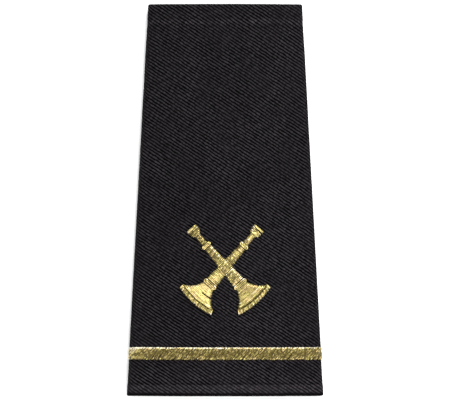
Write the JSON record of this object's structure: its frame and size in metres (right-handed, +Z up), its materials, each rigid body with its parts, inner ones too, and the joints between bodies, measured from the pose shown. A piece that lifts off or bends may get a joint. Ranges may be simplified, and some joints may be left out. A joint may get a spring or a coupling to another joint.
{
  "type": "shoulder board",
  "caption": "Slip-on shoulder board: a tapered black twill sleeve for a shoulder strap, with a badge of crossed gold speaking trumpets and a gold stripe across its wide end.",
  "frame": {"origin": "middle of the flat back, on the surface that the board lies on, under the centre of its box", "axes": "+Y along the board to its narrow collar end, +Z up out of the front, +X across the board to the right as the front is seen with the narrow end up"},
  "size_m": [0.054, 0.108, 0.0087],
  "materials": {
    "twill": "black diagonal twill, stiffened",
    "gold_thread": "metallic gold embroidery thread in satin stitch"
  },
  "bodies": {
    "root": {"sleeve": "twill", "rank_stripe": "gold_thread", "crossing_patch": "gold_thread", "mouth_rim_left": "gold_thread", "mouth_rim_right": "gold_thread", "mouthpiece_left": "gold_thread", "mouthpiece_right": "gold_thread", "upper_collar_left": "gold_thread", "upper_collar_right": "gold_thread", "upper_tube_left": "gold_thread", "upper_tube_right": "gold_thread", "lower_tube_left": "gold_thread", "lower_tube_right": "gold_thread", "lower_collar_left": "gold_thread", "lower_collar_right": "gold_thread", "bell_left": "gold_thread", "bell_right": "gold_thread", "bell_rim_left": "gold_thread", "bell_rim_right": "gold_thread"}
  },
  "joints": []
}
